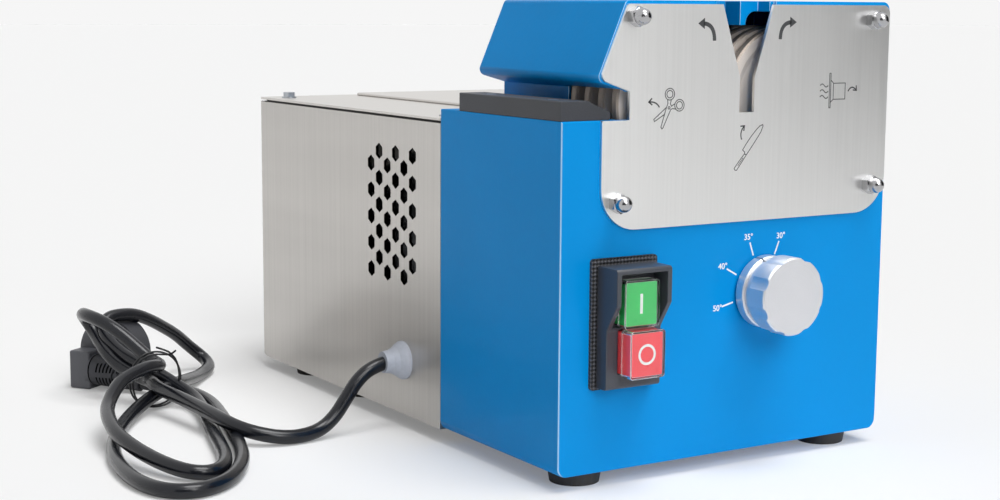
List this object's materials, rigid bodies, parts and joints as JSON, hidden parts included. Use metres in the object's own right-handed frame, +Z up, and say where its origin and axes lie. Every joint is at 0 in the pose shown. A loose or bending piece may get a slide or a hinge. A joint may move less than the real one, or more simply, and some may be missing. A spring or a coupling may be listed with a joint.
{
  "type": "knife and scissors sharpening machine",
  "caption": "Bench machine that sharpens knives and scissors on two sets of interleaved discs, with an angle dial, guarded on/off buttons and a tied mains cord with plug",
  "frame": {"origin": "on the floor under the middle of the machine, measured without the cord", "axes": "+Z up, -Y the front with the dial and switch, +X to the right seen from the front"},
  "size_m": [0.4501, 0.4698, 0.275],
  "materials": {
    "blue_paint": "glossy powder coat over sheet steel",
    "stainless_plate": "vertical brushed stainless sheet",
    "stainless_cover": "fine brushed stainless sheet",
    "zinc_steel": "zinc plated steel",
    "bright_nut": "polished nickel plate",
    "grinding_disc": "ground steel sides with an abrasive rim",
    "dark_rest": "textured dark grey plastic",
    "black_plastic": "moulded black plastic",
    "black_rubber": "black rubber",
    "cord_rubber": "satin black cord sheath",
    "grey_rubber": "pale grey rubber",
    "green_button": "gloss green plastic",
    "red_button": "gloss red plastic",
    "clear_boot": "clear soft boot",
    "satin_aluminium": "turned satin aluminium",
    "cast_aluminium": "cast aluminium",
    "gear_steel": "machined steel",
    "lamination": "varnished steel laminations",
    "bronze": "sintered bronze",
    "plug_brass": "bare brass pins",
    "terminal_white": "off-white moulded plastic"
  },
  "bodies": {
    "root": {"base_plate": "zinc_steel", "bulkhead": "zinc_steel", "cord_gland": "grey_rubber", "cord_hank": "cord_rubber", "cord_lead": "cord_rubber", "cord_tie": "black_plastic", "dial_bush": "bronze", "dome_nuts": "bright_nut", "drive_bearings": "gear_steel", "drive_frame": "zinc_steel", "feet": "black_rubber", "front_housing": "blue_paint", "front_plate": "stainless_plate", "guide_rods": "gear_steel", "left_belt": "black_rubber", "lid_panel": "stainless_cover", "motor_end_shields": "cast_aluminium", "motor_frame": "cast_aluminium", "motor_stator": "lamination", "plug_body": "black_rubber", "plug_pins": "plug_brass", "rear_cover": "stainless_cover", "rear_lid": "stainless_cover", "right_belt": "black_rubber", "run_capacitor": "satin_aluminium", "scissor_rest": "dark_rest", "screws_and_bolts": "zinc_steel", "switch_contact_block": "black_plastic", "switch_gasket": "black_rubber", "switch_housing": "black_plastic", "terminal_block": "terminal_white", "upper_hood": "blue_paint"},
    "angle_setting": {"angle_dial": "satin_aluminium", "dial_shaft": "gear_steel", "scroll_cam": "gear_steel"},
    "left_carriage": {"left_carriage": "cast_aluminium", "left_spindle_bearings": "gear_steel"},
    "right_carriage": {"right_carriage": "cast_aluminium", "right_spindle_bearings": "gear_steel"},
    "left_disc_set": {"left_spindle": "gear_steel", "left_grinding_discs": "grinding_disc", "left_spindle_nut": "zinc_steel", "left_spindle_pulley": "satin_aluminium"},
    "right_disc_set": {"right_spindle": "gear_steel", "right_grinding_discs": "grinding_disc", "right_spindle_nut": "zinc_steel", "right_spindle_pulley": "satin_aluminium"},
    "motor_shaft": {"motor_rotor": "gear_steel", "motor_fan": "black_plastic", "left_drive_gear": "gear_steel", "left_drive_pulley": "satin_aluminium"},
    "countershaft": {"right_countershaft": "gear_steel", "right_drive_gear": "gear_steel", "right_drive_pulley": "satin_aluminium"},
    "start_button": {"green_button": "green_button", "green_button_boot": "clear_boot", "green_button_spring": "zinc_steel"},
    "stop_button": {"red_button": "red_button", "red_button_boot": "clear_boot", "red_button_spring": "zinc_steel"}
  },
  "joints": [
    {"name": "dial_turn", "type": "hinge", "parent": "root", "child": "angle_setting", "pos_m": [0.0248, -0.18825, 0.1046], "axis": [0, -1, 0], "range_deg": [-42, 84]},
    {"name": "left_carriage_slide", "type": "slide", "parent": "root", "child": "left_carriage", "axis": [1, 0, 0], "range_m": [-0.00088, 0.00176], "deforming": ["left_belt"]},
    {"name": "right_carriage_slide", "type": "slide", "parent": "root", "child": "right_carriage", "axis": [1, 0, 0], "range_m": [-0.0018, 0.0009], "deforming": ["right_belt"]},
    {"name": "motor_spin", "type": "hinge", "parent": "root", "child": "motor_shaft", "pos_m": [-0.0345, 0.03175, 0.104], "axis": [0, -1, 0], "continuous": true},
    {"name": "countershaft_spin", "type": "hinge", "parent": "root", "child": "countershaft", "pos_m": [0.0495, -0.08825, 0.104], "axis": [0, -1, 0], "continuous": true},
    {"name": "left_disc_spin", "type": "hinge", "parent": "left_carriage", "child": "left_disc_set", "pos_m": [-0.03446, -0.10125, 0.2165], "axis": [0, -1, 0], "continuous": true},
    {"name": "right_disc_spin", "type": "hinge", "parent": "right_carriage", "child": "right_disc_set", "pos_m": [0.04946, -0.10125, 0.2165], "axis": [0, -1, 0], "continuous": true},
    {"name": "green_press", "type": "slide", "parent": "root", "child": "start_button", "axis": [0, 1, 0], "range_m": [0, 0.003], "stiffness_N_per_m": 900, "springref_m": -0.001, "deforming": ["green_button_spring"]},
    {"name": "red_press", "type": "slide", "parent": "root", "child": "stop_button", "axis": [0, 1, 0], "range_m": [0, 0.003], "stiffness_N_per_m": 900, "springref_m": -0.001, "deforming": ["red_button_spring"]}
  ],
  "couplings": [
    {"joint": "dial_turn", "follows": "left_carriage_slide", "rad_per_m": 833.33},
    {"joint": "right_carriage_slide", "follows": "left_carriage_slide", "ratio": -1},
    {"joint": "countershaft_spin", "follows": "motor_spin", "ratio": -1},
    {"joint": "left_disc_spin", "follows": "motor_spin", "ratio": 1},
    {"joint": "right_disc_spin", "follows": "motor_spin", "ratio": -1}
  ]
}
